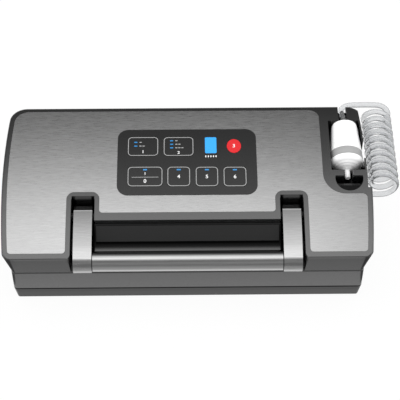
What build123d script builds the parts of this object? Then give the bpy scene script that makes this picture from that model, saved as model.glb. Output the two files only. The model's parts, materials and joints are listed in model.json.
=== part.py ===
from build123d import *
from math import cos, radians, sin, sqrt, tan
import os

os.makedirs("parts", exist_ok=True)

# Countertop vacuum sealer. Millimetres; X to the right, Y to the back, Z up.
# The origin is on the table, under the middle of the machine.

# Lid: one crowned shell, hinged at the back
lid_width = 400.0
lid_front = -94.25
lid_back = 97.25
lid_bottom = 49.5
lid_wall = 2.5
roof = 3.0
side_bow = 3.7  # how far a side bows in, bow_span from the middle
bow_span = 90.0
front_corner = 8.5
back_corner = 19.0
crest_y = 64.5  # the top is a cylinder whose highest line is here
crest_z = 104.1
crown_radius = 483.0
skirt_top = 77.0  # below this height the walls lean in
skirt_side = 8.0
skirt_end = 3.0
edge_round = 2.2

# Steel panel and control panel on the lid
rim = 6.0
steel_thick = 1.0
steel_corner = 3.5  # front corners
glue = 0.05  # adhesive between the panel and the lid
film_thick = 0.5
control_width = 152.0
control_front = -23.8
control_back = 62.6
control_corner = 12.0
key_gap = 0.3
key_proud = 0.2
key_depth = 4.5
key_corner = 4.5
key_travel = 0.5
stem_radius = 2.0
board_top = 89.0
board_thick = 1.6
switch_height = 2.0

# Handle: two hooked arms and a round grip
arm_x = 112.0
arm_width = 19.8
arm_gap = 2.8
slot_back = -24.2
slot_corner = 5.0
slot_rim = 5.0
slot_turn = 8.5  # corners of the steel round the back of a slot
slot_mouth = 5.0  # rounding of the lid beside the front of a slot
pivot_y = -38.0
pivot_z = 78.0
hub_radius = 12.2
shaft_radius = 4.0
shaft_fit = 0.05
handle_front = -97.25
arm_rear_y = -37.0  # the top of an arm curves from here down to its nose
arm_rear_z = 87.7
arm_rise = 2.0  # how far the top curves out
nose_radius = 13.0  # the front of an arm is round
nose_z = 60.0
nose_top = 64.0  # degrees up from straight ahead to where the top begins
nose_bottom = -40.0
arm_foot_z = 54.0
arm_thick = 9.0
grip_radius = 11.0
grip_z = 61.7
grip_wall = 2.5
claw_inset = 31.0  # from the side of the lid
claw_thick = 6.0
claw_width = 8.0
claw_reach = 38.0
claw_nose = 5.5
striker_radius = 2.5

# Front of the lid between the arms
step_y = -52.4
step_z = 83.0
window_y = -65.2  # the slope of the window ends here and curves out to the lip
window_z = 65.6
lip_y = -72.3
lip_z = 61.0
window_thick = 2.5
window_end = 1.5  # from the end of the window to the slot of an arm

# Nozzle cradle and hose side of the lid
relief = 4.5  # the right side stands back to clear the coiled hose
relief_y = -15.7
cradle_inset = 43.0  # this and the insets below are from the right side of the lid
cradle_front = 6.3
cradle_back = 74.5
cradle_wall = 1.9
holder_inset = 52.7
holder_front = -23.3
holder_corner = 24.0
finger_half = 14.7
finger_front = -19.8
finger_back = -1.0
finger_ledge_y = -5.5
finger_ledge_z = 91.0
finger_floor = 80.0
side_notch_front = 21.5  # the nozzle is gripped through a notch in the side wall
side_notch_back = 46.5
side_notch_floor = 84.0
nozzle_inset = 24.5
nozzle_y = 72.2  # middle of the rear end
nozzle_z = 98.0
nozzle_tilt = 9.0  # degrees, nose down
nozzle_rear_radius = 14.0
nozzle_radius = 17.8
body_length = 36.7
band_length = 9.1
cap_length = 11.2
tip_length = 11.6
tip_radius = 3.0
hose_radius = 3.0
coil_radius = 14.0
coil_clear = 15.0  # from the side of the lid to the axis of the coil
coil_front = -1.0
run_y = 106.0
run_z = 95.0

# Base
base_front = -91.0
base_back = 91.0
base_inset = 7.5
base_corner = 4.2  # front corners
base_wall = 3.0
deck_z = 49.0
deck = 3.0
seam_z = 19.2
seam_gap = 0.8
cover_lean = 2.6
cover_bottom = 1.2
cover_floor = 2.5
hinge_y = 87.0
hinge_z = 58.0
hinge_pin_radius = 2.0
knuckle_radius = 4.2
knuckle_x = 126.0
knuckle_length = 12.0
rear_bottom = 59.5  # the lid's back wall stops here, so it can swing down behind the base

# Vacuum chamber and sealing bar
trough_end = 4.0  # the trough stops this far inside the ends of the seal
trough_front = -54.5
trough_back = -28.5
trough_floor = 36.0
gasket_gap = 2.0
gasket_width = 6.0
gasket_seat = 2.0
chamber_gap = 2.0  # gasket top above the deck
seal_gap = 0.3
seal_y = -67.0
seal_half = 152.0
bar_width = 5.0
plate_bottom = 52.0
plate_thick = 2.5
plate_groove = 1.2

trough_corner = 5.0
bar_seat = 45.0
tape_thick = 0.25
element_thick = 0.2
tray_wall = 1.2
window_margin = 2.0
flange = 1.5  # keeps a key from falling out of its hole

# Pumps, valve and pipes in the lid
pump_y = 42.0
pump_z = 72.0
motor_start = 76.0
motor_length = 36.0
motor_radius = 13.5
housing_length = 24.0
housing_top = 87.0
head_top = 95.0
pin_radius = 2.0
eccentric_radius = 8.0
throw = 3.0
valve_y = 36.0
port_y = -41.5
port_radius = 4.0
pipe_radius = 3.0
bolt_radius = 2.5

# Supply in the base
foot_radius = 8.0
foot_sunk = 1.5
core_x = -70.0
core_y = 34.0
supply_x = 62.0
supply_y = 34.0
supply_z = 10.0
inlet_inset = 75.0  # from the left side
inlet_z = 33.0
inlet_width = 22.0
inlet_height = 13.0
inlet_depth = 18.0
pin_size = 1.2
pin_pitch = 8.6

fit = 0.1
gap = 0.3
reach = lid_back - lid_front  # longer than any cut needs
right_left = (1, -1)


def half_width(y, inset=0.0):
    return lid_width / 2 - inset - side_bow * (y / bow_span) ** 2


def crown_z(y, drop=0.0):
    return crest_z - crown_radius + sqrt((crown_radius - drop) ** 2 - (y - crest_y) ** 2)


def outline(inset, front, back, front_round=front_corner):
    """Plan of the machine: straight front and back, bowed sides, round corners."""
    with BuildSketch() as plan:
        with BuildLine():
            right = ThreePointArc(
                (half_width(front, inset), front), (half_width(0, inset), 0), (half_width(back, inset), back)
            )
            Line(right @ 1, (-half_width(back, inset), back))
            left = ThreePointArc(
                (-half_width(back, inset), back), (-half_width(0, inset), 0),
                (-half_width(front, inset), front)
            )
            Line(left @ 1, right @ 0)
        make_face()
        fillet(plan.vertices().group_by(Axis.Y)[0], max(front_round - inset / 2, 2))
        fillet(plan.vertices().group_by(Axis.Y)[-1], max(back_corner - inset / 2, 2))
    return plan.sketch_local


def lid_plan(inset):
    return outline(inset, lid_front + inset, lid_back - inset)


def crown_band(top_drop, bottom_drop):
    """Side view of a plate that follows the crown, between two depths below it."""
    with BuildSketch() as band:
        with BuildLine():
            upper = ThreePointArc(*[(y, crown_z(y, top_drop)) for y in (-reach, 0, reach)])
            lower = ThreePointArc(*[(y, crown_z(y, bottom_drop)) for y in (reach, 0, -reach)])
            Line(upper @ 1, lower @ 0)
            Line(lower @ 1, upper @ 0)
        make_face()
    return band.sketch_local


def crowned_plate(plan, top_drop, bottom_drop):
    """A plate with the plan given that follows the crown of the lid."""
    with BuildPart() as plate:
        with BuildSketch():
            add(plan)
        extrude(amount=crest_z + 2 * roof)
        with BuildSketch(Plane.YZ):
            add(crown_band(top_drop, bottom_drop))
        extrude(amount=lid_width, both=True, mode=Mode.INTERSECT)
    return plate.part


def lid_block(inset, drop, bottom):
    """The lid as a solid block, or its hollow when it is inset and dropped."""
    with BuildPart() as block:
        with BuildSketch(Plane.XY.offset(bottom)):
            add(outline(inset + skirt_side, lid_front + skirt_end + inset, lid_back - skirt_end - inset))
        with BuildSketch(Plane.XY.offset(skirt_top)):
            add(lid_plan(inset))
        loft()
        with BuildSketch(Plane.XY.offset(skirt_top)):
            add(lid_plan(inset))
        extrude(amount=crest_z + roof - skirt_top)
        with BuildSketch(Plane.YZ):
            add(crown_band(drop, crown_radius / 4))
        extrude(amount=lid_width, both=True, mode=Mode.INTERSECT)
    return block.part


def box_between(x0, x1, y0, y1, z0, z1, mode=Mode.ADD):
    """A box from its two corners, in the part that is being built."""
    with Locations(((x0 + x1) / 2, (y0 + y1) / 2, (z0 + z1) / 2)):
        Box(abs(x1 - x0), abs(y1 - y0), abs(z1 - z0), mode=mode)


def rod_along_x(x0, x1, y, z, radius, mode=Mode.ADD):
    """A round bar along X, in the part that is being built."""
    with Locations(Location(((x0 + x1) / 2, y, z), (0, 90, 0))):
        Cylinder(radius, abs(x1 - x0), mode=mode)


def peg(x, y, z0, z1, radius, mode=Mode.ADD):
    """An upright round peg, in the part that is being built."""
    with Locations((x, y, (z0 + z1) / 2)):
        Cylinder(radius, z1 - z0, mode=mode)


def side_view(points, x0, x1, mode=Mode.ADD, grow=0.0):
    """A prism along X from points in the YZ plane, in the part that is being built."""
    with BuildSketch(Plane.YZ.offset(x0)) as view:
        with BuildLine():
            Polyline(*points, close=True)
        make_face()
        if grow:
            offset(amount=grow, kind=Kind.INTERSECTION)
    extrude(view.sketch, amount=x1 - x0, mode=mode)


def cut_notch(half, grow=0.0):
    """Cuts the front of the lid back between the arms: a slope for the window that curves out to the lip."""
    with BuildSketch(Plane.YZ.offset(-half)) as view:
        with BuildLine():
            slope = Line((step_y, step_z), (window_y, window_z))
            ledge = TangentArc(slope @ 1, (lip_y, lip_z), tangent=slope % 1)
            Polyline(
                ledge @ 1, (lip_y, lid_bottom - roof), (-reach, lid_bottom - roof), (-reach, crest_z + roof),
                (step_y, crest_z + roof), slope @ 0,
            )
        make_face()
        if grow:
            offset(amount=grow, kind=Kind.INTERSECTION)
    extrude(view.sketch, amount=2 * half, mode=Mode.SUBTRACT)


def save(part, name):
    part.label = name
    export_step(part, f"parts/{name}.step")


# Values that follow from the driving dimensions
claw_x = lid_width / 2 - claw_inset
cradle_left = lid_width / 2 - cradle_inset
holder_left = lid_width / 2 - holder_inset
nozzle_x = lid_width / 2 - nozzle_inset
coil_x = lid_width / 2 + coil_clear
inlet_x = inlet_inset - lid_width / 2
trough_half = seal_half - trough_end
motor_end = motor_start + motor_length
housing_end = motor_end + housing_length
slot_half = arm_width / 2 + arm_gap
slot_inner = arm_x - slot_half
slot_outer = arm_x + slot_half
window_half = slot_inner - window_end
well_floor = pivot_z - hub_radius - 5.0
grip_y = handle_front + grip_radius
arm_inner = arm_x - arm_width / 2
arm_outer = arm_x + arm_width / 2
shaft_start = slot_inner - lid_wall
shaft_end = claw_x + 2.5 * claw_thick / 2 + lid_wall
rib_x = shaft_end - lid_wall
nozzle_plane = Plane(
    origin=(nozzle_x, nozzle_y, nozzle_z), x_dir=(0, -cos(radians(nozzle_tilt)), -sin(radians(nozzle_tilt))),
    z_dir=(1, 0, 0),
)
widest = body_length + band_length
cap_end = widest + cap_length
tip_end = cap_end + tip_length
cradle_floor = nozzle_z - widest * sin(radians(nozzle_tilt)) - nozzle_radius * cos(radians(nozzle_tilt)) - gap
groove_half = hose_radius + 1.5
groove_x = nozzle_x - 1.5
groove_floor = run_z - hose_radius - gap
board_x = 0.92 * control_width / 2
board_front = control_front + 3.8
board_back = control_back - 3.6
tip_floor = nozzle_z - tip_end * sin(radians(nozzle_tilt)) - tip_radius - 1.0
boss_x = half_width(0) - skirt_side - lid_wall - 7.0
boss_radius = 3.5
lid_bosses = [(s * boss_x, y) for s in right_left for y in (-80.0, -26.0)]
lid_bosses += [(s * (holder_left - 4.0), 66.0) for s in right_left]
board_posts = [(s * (board_x - 3.0), y) for s in right_left for y in (board_front + 3.0, board_back - 3.0)]
screw_radius = 1.5
plate_top = plate_bottom + plate_thick
bar_top = deck_z + chamber_gap

port_z = run_z - 2 * coil_radius
port_x = half_width(coil_front) - relief
port_top = plate_top + 12.0
striker_y = pivot_y + claw_width / 2 + claw_nose + gap + striker_radius
striker_z = pivot_z - claw_reach + 3.5
boss_foot = cover_bottom + cover_floor + gap
foot_x = half_width(0) - base_inset - 24.0
feet = [(x, y) for x in (-foot_x, foot_x) for y in (base_front + 20.0, base_back - 20.0)]
base_boss_x = half_width(base_back, base_inset) - base_wall - 6.0
base_bosses = [(s * base_boss_x, y) for s in right_left for y in (base_front + 16.0, base_back - 16.0)]
base_bosses += [(s * 40.0, base_back - 10.0) for s in right_left]
supply_posts = [(supply_x + dx, supply_y + dy) for dx in (-34, 34) for dy in (-22, 22)]
supply_top = supply_z + board_thick
key_names = ["mode_key", "food_key", "pulse_key", "stop_key", "seal_key", "marinate_key", "canister_key"]
light_places = {
    "mode_key": [(-7.2, 6.5), (-7.2, 0.5)],
    "food_key": [(-7.4, 8.9), (-7.4, 2.9), (-7.4, -3.1)],
    "stop_key": [(0, 7.6)],
    "seal_key": [(0, 7.6)],
    "marinate_key": [(0, 7.6)],
    "canister_key": [(0, 7.6)],
}

# Key places on the control panel: centre X, centre Y, width, depth
keys = {
    "mode_key": (-48.1, 38.7, 33.4, 25.9),
    "food_key": (-9.2, 38.4, 32.8, 25.9),
    "stop_key": (-45.6, -1.0, 37.9, 24.7),
    "seal_key": (-9.1, -1.2, 24.8, 24.7),
    "marinate_key": (21.4, -1.5, 24.5, 24.6),
    "canister_key": (51.8, -1.8, 24.9, 24.6),
}
pulse_key = (51.5, 38.5, 7.8, 9.4)
display = (26.1, 39.9, 12.6, 22.1)


def key_plan(name, grow=0.0):
    """Plan of one key, or of its hole when it is grown."""
    with BuildSketch() as plan:
        if name == "pulse_key":
            with Locations(pulse_key[:2]):
                Ellipse(pulse_key[2] + grow, pulse_key[3] + grow)
        elif name == "display":
            with Locations(display[:2]):
                RectangleRounded(display[2] + 2 * grow, display[3] + 2 * grow, 1.5 + grow)
        else:
            x, y, width, depth = keys[name]
            with Locations((x, y)):
                RectangleRounded(width + 2 * grow, depth + 2 * grow, key_corner + grow)
    return plan.sketch_local


def steel_plan(grow=0.0):
    """Plan of the steel panel: inset from the lid, cut round the slots and the hose holder."""
    with BuildSketch() as plan:
        add(outline(rim - grow, lid_front + rim - grow, lid_back - rim + grow, steel_corner + rim / 2))
        for s in right_left:
            with Locations((s * arm_x, (slot_back + slot_rim - grow - reach) / 2)):
                RectangleRounded(
                    2 * (slot_half + slot_rim - grow), slot_back + slot_rim - grow + reach, slot_turn,
                    mode=Mode.SUBTRACT
                )
        with Locations((0, (step_y + 8.7 - grow - reach) / 2)):
            Rectangle(2 * arm_x, step_y + 8.7 - grow + reach, mode=Mode.SUBTRACT)
        with Locations((holder_left + grow + reach / 2, holder_front + grow + reach / 2)):
            RectangleRounded(reach, reach, holder_corner - grow, mode=Mode.SUBTRACT)
        corners = [(s * (slot_inner - slot_rim), step_y + 8.7) for s in right_left]
        corners += [(s * (slot_outer + slot_rim), lid_front + rim) for s in right_left]
        for corner in corners:
            fillet(plan.vertices().sort_by_distance(corner)[0], steel_corner)
        fillet(plan.vertices().sort_by_distance((holder_left, lid_back - rim))[0], 11.0)
        fillet(plan.vertices().sort_by_distance((half_width(0) - rim, holder_front))[0], 5.0)
    return plan.sketch_local


def cradle_plan(grow=0.0):
    """Plan of the well that holds the nozzle; its right side follows the side of the lid."""
    with BuildSketch() as plan:
        with Locations(((cradle_left - grow + lid_width / 2) / 2, (cradle_front + cradle_back) / 2)):
            Rectangle(lid_width / 2 - cradle_left + grow, cradle_back - cradle_front + 2 * grow)
        add(lid_plan(relief + cradle_wall - grow), mode=Mode.INTERSECT)
    return plan.sketch_local


def finger_plan(grow=0.0):
    """Plan of the D-shaped finger recess in front of the nozzle tip."""
    with BuildSketch() as plan:
        with BuildLine():
            arc = ThreePointArc(
                (nozzle_x - finger_half, finger_back), (nozzle_x, finger_front),
                (nozzle_x + finger_half, finger_back)
            )
            Line(arc @ 1, arc @ 0)
        make_face()
        if grow:
            offset(amount=grow)
    return plan.sketch_local


def relief_plan(depth):
    """Strip along the right side of the lid, behind the step, that is cut back."""
    with BuildSketch() as plan:
        with Locations((lid_width / 2, (relief_y + relief - depth + reach) / 2)):
            Rectangle(reach / 2, reach - relief_y - relief + depth)
        add(outline(depth, -reach, reach), mode=Mode.SUBTRACT)
    return plan.sketch_local


def window_view(outer, inner, grow):
    """Side view of the window slope, from one depth to another below its face."""
    along = Vector(window_y - step_y, window_z - step_z).normalized()
    inward = Vector(-along.Y, along.X)
    start = Vector(step_y, step_z) + along * (window_margin - grow)
    end = Vector(window_y, window_z) - along * (window_margin - grow)
    spots = [start + inward * outer, end + inward * outer, end + inward * inner, start + inward * inner]
    return [(spot.X, spot.Y) for spot in spots]


def key_centre(name):
    return pulse_key[:2] if name == "pulse_key" else keys[name][:2]


def cut_keys(clearance, display_step=-1.0):
    """Cut the holes for the keys, and for the display, through the part that is being built."""
    for name in key_names:
        extrude(Plane.XY.offset(board_top) * key_plan(name, clearance), amount=crest_z, mode=Mode.SUBTRACT)
    hole = Plane.XY.offset(board_top) * key_plan("display", display_step)
    extrude(hole, amount=crest_z, mode=Mode.SUBTRACT)


def ring_plan(grow=0.0):
    """Plan of the chamber gaskets: a band round the trough."""
    ring_x = trough_half + gasket_gap + gasket_width / 2
    ring_y = (trough_back - trough_front) / 2 + gasket_gap + gasket_width / 2
    with BuildSketch() as plan:
        with Locations((0, (trough_front + trough_back) / 2)):
            for side, mode in ((1, Mode.ADD), (-1, Mode.SUBTRACT)):
                spread = side * (gasket_width / 2 + grow)
                RectangleRounded(
                    2 * (ring_x + spread), 2 * (ring_y + spread), trough_corner + gasket_gap + side * 2,
                    mode=mode
                )
    return plan.sketch_local


def trough_plan(grow):
    """Plan of the vacuum trough."""
    with BuildSketch() as plan:
        with Locations((0, (trough_front + trough_back) / 2)):
            RectangleRounded(
                2 * (trough_half + grow), trough_back - trough_front + 2 * grow, max(trough_corner + grow, 1)
            )
    return plan.sketch_local


def base_plan(inset):
    return outline(base_inset + inset, base_front + inset, base_back - inset, base_corner + base_inset / 2)


# Lid frame: hollow inside, with the walls of its wells left standing in the hollow
with BuildPart() as lid_hollow:
    add(lid_block(lid_wall, roof, lid_bottom - 1.0))
    for s in right_left:
        box_between(
            s * shaft_start, s * (slot_outer + lid_wall), -reach, slot_back + lid_wall,
            well_floor - lid_wall, crest_z, mode=Mode.SUBTRACT,
        )
        box_between(
            s * shaft_start, s * (slot_outer + lid_wall), -reach, lip_y + lid_wall, 0, crest_z,
            mode=Mode.SUBTRACT
        )
        box_between(
            s * rib_x, s * shaft_end, pivot_y - 8, pivot_y + 8, pivot_z - 8, crest_z, mode=Mode.SUBTRACT
        )
    cut_notch(slot_inner, grow=lid_wall)
    with BuildSketch(Plane.XY.offset(cradle_floor - lid_wall)):
        add(cradle_plan(lid_wall))
        with Locations((groove_x, (cradle_back + lid_back) / 2)):
            Rectangle(2 * (groove_half + lid_wall), lid_back - cradle_back + 2 * lid_wall)
        with Locations((nozzle_x, cradle_front / 2)):
            Rectangle(2 * (groove_half + lid_wall), cradle_front)
    extrude(amount=crest_z, mode=Mode.SUBTRACT)
    with BuildSketch(Plane.XY.offset(finger_floor - lid_wall)):
        add(finger_plan(lid_wall))
    extrude(amount=crest_z, mode=Mode.SUBTRACT)
    with BuildSketch():
        add(relief_plan(relief + lid_wall))
    extrude(amount=crest_z, mode=Mode.SUBTRACT)
    for x, y in lid_bosses:
        peg(x, y, plate_top, crest_z, boss_radius, mode=Mode.SUBTRACT)
    for x, y in board_posts:
        peg(x, y, board_top, crest_z, boss_radius, mode=Mode.SUBTRACT)

with BuildPart() as lid_frame:
    add(lid_block(0, 0, lid_bottom))
    fillet(lid_frame.faces().sort_by(Axis.Z)[-1].edges(), edge_round)
    add(lid_hollow.part, mode=Mode.SUBTRACT)
    for s in right_left:
        with BuildSketch(Plane.XY.offset(well_floor)):
            with Locations((s * arm_x, (slot_back - reach) / 2)):
                RectangleRounded(2 * slot_half, slot_back + reach, slot_corner)
        extrude(amount=crest_z, mode=Mode.SUBTRACT)
        with BuildSketch():
            with Locations((s * (slot_outer + slot_mouth / 2 - 0.5), lid_front + slot_mouth / 2 - 0.5)):
                Rectangle(slot_mouth + 1, slot_mouth + 1)
            with Locations((s * (slot_outer + slot_mouth), lid_front + slot_mouth)):
                Circle(slot_mouth, mode=Mode.SUBTRACT)
        extrude(amount=crest_z, mode=Mode.SUBTRACT)
        box_between(s * slot_inner, s * slot_outer, -reach, lip_y, 0, crest_z, mode=Mode.SUBTRACT)
        rod_along_x(
            s * shaft_start, s * shaft_end, pivot_y, pivot_z, shaft_radius + shaft_fit, mode=Mode.SUBTRACT
        )
    cut_notch(slot_inner + 1)
    with BuildSketch(Plane.XY.offset(cradle_floor)):
        add(cradle_plan())
    extrude(amount=crest_z, mode=Mode.SUBTRACT)
    box_between(
        groove_x - groove_half, groove_x + groove_half, cradle_back - 1, lid_back + 1, groove_floor,
        crest_z + 1,
        mode=Mode.SUBTRACT,
    )
    box_between(
        nozzle_x - groove_half, nozzle_x + groove_half, finger_back - 1, cradle_front + 1, tip_floor,
        crest_z + 1,
        mode=Mode.SUBTRACT,
    )
    box_between(
        nozzle_x + nozzle_rear_radius, lid_width / 2, side_notch_front, side_notch_back,
        side_notch_floor, crest_z + 1, mode=Mode.SUBTRACT,
    )
    with BuildSketch(Plane.XY.offset(finger_ledge_z)):
        add(finger_plan())
    extrude(amount=crest_z, mode=Mode.SUBTRACT)
    with BuildSketch(Plane.XY.offset(finger_floor)):
        add(finger_plan())
        with Locations((nozzle_x, finger_ledge_y + reach / 2)):
            Rectangle(reach, reach, mode=Mode.INTERSECT)
    extrude(amount=crest_z, mode=Mode.SUBTRACT)
    with BuildSketch():
        add(relief_plan(relief))
    extrude(amount=crest_z + 1, mode=Mode.SUBTRACT)
    add(crowned_plate(steel_plan(fit), -roof, steel_thick + glue), mode=Mode.SUBTRACT)
    box_between(-lid_width, lid_width, hinge_y - 10, lid_back + 1, 0, rear_bottom, mode=Mode.SUBTRACT)
    cut_keys(key_gap)
    side_view(
        window_view(-1.0, window_thick + 1.0, fit), -window_half - fit, window_half + fit, mode=Mode.SUBTRACT
    )
    for s in right_left:
        x0, x1 = s * (knuckle_x + knuckle_length + gap), s * (knuckle_x + 2 * knuckle_length)
        rod_along_x(x0, x1, hinge_y, hinge_z, knuckle_radius)
        box_between(
            x0, x1, hinge_y - knuckle_radius, lid_back - skirt_end - 1.0, hinge_z + 2.5, hinge_z + 16.0
        )
        rod_along_x(x0, x1, hinge_y, hinge_z, hinge_pin_radius + shaft_fit, mode=Mode.SUBTRACT)
    for x, y in lid_bosses:
        peg(x, y, plate_top, plate_top + 12.0, screw_radius + shaft_fit, mode=Mode.SUBTRACT)
    for x, y in board_posts:
        peg(x, y, board_top, board_top + 4.0, screw_radius + shaft_fit, mode=Mode.SUBTRACT)
    rod_along_x(port_x - 10, port_x + 2, coil_front, port_z, port_radius + fit, mode=Mode.SUBTRACT)
save(lid_frame.part, "lid_frame")

with BuildPart() as steel_panel:
    add(crowned_plate(steel_plan(), 0, steel_thick))
    cut_keys(key_gap)
save(steel_panel.part, "steel_panel")

with BuildSketch() as control_plan:
    with Locations((0, (control_front + control_back) / 2)):
        RectangleRounded(control_width, control_back - control_front, control_corner)
with BuildPart() as control_film:
    add(crowned_plate(control_plan.sketch_local, -film_thick, 0))
    cut_keys(key_gap, 0)
save(control_film.part, "control_film")

save(crowned_plate(key_plan("display"), -film_thick, 0), "display_window")

for name in key_names:
    with BuildPart() as key:
        add(crowned_plate(key_plan(name), -film_thick - key_proud, key_depth))
        add(crowned_plate(key_plan(name, flange), roof + gap, key_depth))
        x, y = key_centre(name)
        peg(x, y, board_top + switch_height + key_travel + fit, crown_z(y, key_depth - 1), stem_radius)
    save(key.part, name)

with BuildPart() as circuit_board:
    box_between(-board_x, board_x, board_front, board_back, board_top - board_thick, board_top)
    for x, y in board_posts:
        peg(x, y, board_top - board_thick, board_top, screw_radius + fit, mode=Mode.SUBTRACT)
save(circuit_board.part, "circuit_board")

with BuildPart() as key_switches:
    for name in key_names:
        x, y = key_centre(name)
        box_between(x - 3, x + 3, y - 3, y + 3, board_top, board_top + 0.7 * switch_height)
        peg(x, y, board_top, board_top + switch_height, stem_radius - 0.25)
save(key_switches.part, "key_switches")

with BuildPart() as display_lamp:
    x, y, width, depth = display
    box_between(
        x - width / 2 + 1, x + width / 2 - 1, y - depth / 2 + 1, y + depth / 2 - 1, board_top, board_top + 7.0
    )
save(display_lamp.part, "display_lamp")

with BuildPart() as status_lights:
    for name, offsets in light_places.items():
        x, y = key_centre(name)
        for dx, dy in offsets:
            box_between(x + dx - 1.5, x + dx + 1.5, y + dy - 0.8, y + dy + 0.8, board_top, board_top + 2.4)
save(status_lights.part, "status_lights")

with BuildPart() as board_screws:
    for x, y in board_posts:
        peg(x, y, board_top - board_thick - 1.8, board_top - board_thick, 2 * screw_radius)
        peg(x, y, board_top - board_thick, board_top + 3.5, screw_radius)
save(board_screws.part, "board_screws")

# Tinted window on the slope between the arms
with BuildPart() as viewing_window:
    side_view(window_view(0, window_thick, 0), -window_half, window_half)
save(viewing_window.part, "viewing_window")

# Underside of the lid: carries the upper seals and the pumps
plate_inset = skirt_side + lid_wall + gap
claw_slot = (pivot_y - 0.85 * claw_reach, pivot_y + claw_width / 2 + claw_nose + 2.0)
with BuildPart() as lid_underside:
    with BuildSketch(Plane.XY.offset(plate_bottom)):
        add(outline(plate_inset, lid_front + skirt_end + lid_wall + gap, hinge_y - 11.0))
        with Locations((0, (lip_y + lid_wall + gap - reach) / 2)):
            Rectangle(2 * (slot_outer + lid_wall + gap), lip_y + lid_wall + gap + reach, mode=Mode.SUBTRACT)
        for s in right_left:
            with Locations((s * claw_x, sum(claw_slot) / 2)):
                Rectangle(claw_thick + 3, claw_slot[1] - claw_slot[0], mode=Mode.SUBTRACT)
    extrude(amount=plate_thick)
    for s in right_left:
        box_between(
            s * (motor_start + 8), s * (motor_start + 12), pump_y - 9, pump_y + 9, plate_top, pump_z - 5
        )
        rod_along_x(s * motor_start, s * motor_end, pump_y, pump_z, motor_radius + fit, mode=Mode.SUBTRACT)
    for x, y in lid_bosses:
        peg(x, y, plate_bottom, plate_top, screw_radius + fit, mode=Mode.SUBTRACT)
        peg(x, y, plate_bottom, plate_bottom + 1.5, 2 * screw_radius + fit, mode=Mode.SUBTRACT)
    with BuildSketch(Plane.XY.offset(plate_bottom)):
        add(ring_plan(fit))
        with Locations((0, seal_y)):
            Rectangle(2 * seal_half + 2 * fit, bar_width + 2 * fit)
    extrude(amount=plate_groove, mode=Mode.SUBTRACT)
    peg(0, port_y, plate_bottom, plate_top, port_radius + fit, mode=Mode.SUBTRACT)
save(lid_underside.part, "lid_underside")

with BuildPart() as lid_screws:
    for x, y in lid_bosses:
        peg(x, y, plate_bottom + 0.1, plate_bottom + 1.5, 2 * screw_radius)
        peg(x, y, plate_bottom + 1.5, plate_top + 10.0, screw_radius)
save(lid_screws.part, "lid_screws")

with BuildPart() as upper_gasket:
    with BuildSketch(Plane.XY.offset(bar_top + seal_gap)):
        add(ring_plan())
    extrude(amount=plate_bottom + plate_groove - bar_top - seal_gap)
save(upper_gasket.part, "upper_gasket")

with BuildPart() as pressure_strip:
    box_between(
        -seal_half, seal_half, seal_y - bar_width / 2, seal_y + bar_width / 2,
        bar_top + seal_gap, plate_bottom + plate_groove,
    )
save(pressure_strip.part, "pressure_strip")

# Vacuum pumps: a motor, a housing, a head and a turning eccentric on each side
with BuildPart() as pump_motors:
    for s in right_left:
        rod_along_x(s * motor_start, s * motor_end, pump_y, pump_z, motor_radius)
        rod_along_x(
            s * (motor_end - 8), s * motor_end, pump_y, pump_z, pin_radius + shaft_fit, mode=Mode.SUBTRACT
        )
save(pump_motors.part, "pump_motors")

with BuildPart() as pump_housings:
    for s in right_left:
        box_between(s * motor_end, s * housing_end, pump_y - 18, pump_y + 18, plate_top, housing_top)
        rod_along_x(
            s * (motor_end + 3), s * (housing_end - 3), pump_y, pump_z, eccentric_radius + throw + 1.0,
            mode=Mode.SUBTRACT,
        )
        rod_along_x(
            s * motor_end, s * (motor_end + 3), pump_y, pump_z, pin_radius + shaft_fit, mode=Mode.SUBTRACT
        )
save(pump_housings.part, "pump_housings")

with BuildPart() as pump_heads:
    for s in right_left:
        x = s * (motor_end + housing_end) / 2
        box_between(x - 10, x + 10, pump_y - 12, pump_y + 12, housing_top, head_top)
        with Locations(Location((x, pump_y - 15, (housing_top + head_top) / 2), (90, 0, 0))):
            Cylinder(2.5, 6)
save(pump_heads.part, "pump_heads")

for s, side in zip(right_left, ("right", "left")):
    with BuildPart() as eccentric:
        rod_along_x(s * (motor_end - 7), s * (housing_end - 4), pump_y, pump_z, pin_radius)
        rod_along_x(s * (motor_end + 6), s * (housing_end - 6), pump_y, pump_z - throw, eccentric_radius)
    save(eccentric.part, f"{side}_eccentric")

with BuildPart() as solenoid_valve:
    box_between(-14, 14, valve_y - 10, valve_y + 10, plate_top, plate_top + 12)
    peg(0, valve_y, plate_top + 12, plate_top + 26, 9.0)
    for s in right_left:
        rod_along_x(s * 14, s * 20, valve_y, plate_top + 6, 2.5)
    with Locations(Location((0, valve_y - 13, plate_top + 6), (90, 0, 0))):
        Cylinder(2.5, 6)
save(solenoid_valve.part, "solenoid_valve")

with BuildPart() as vacuum_port:
    peg(0, port_y, plate_bottom + 0.2, port_top, port_radius)
    peg(0, port_y, plate_top, plate_top + 1.5, port_radius + 3)
    peg(0, port_y, plate_bottom + 0.2, port_top, port_radius - 1.5, mode=Mode.SUBTRACT)
save(vacuum_port.part, "vacuum_port")


def tube(points, radius, name):
    """Solid tube along straight runs with the largest arcs that the runs allow."""
    spots = [Vector(*p) for p in points]
    radii = []
    for before, corner, after in zip(spots, spots[1:], spots[2:]):
        turn = (corner - before).get_angle(after - corner)
        run = min((corner - before).length, (after - corner).length)
        radii.append(0.45 * run / tan(radians(turn / 2)))
    with BuildPart() as result:
        with BuildLine() as path:
            FilletPolyline(*points, radius=radii)
        line = path.wires()[0]
        with BuildSketch(Plane(origin=line @ 0, z_dir=line % 0)):
            Circle(radius)
        sweep(path=line)
    print(name, "length", round(line.length, 1), "smallest radius", round(min(radii), 1))
    return result.part


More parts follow.
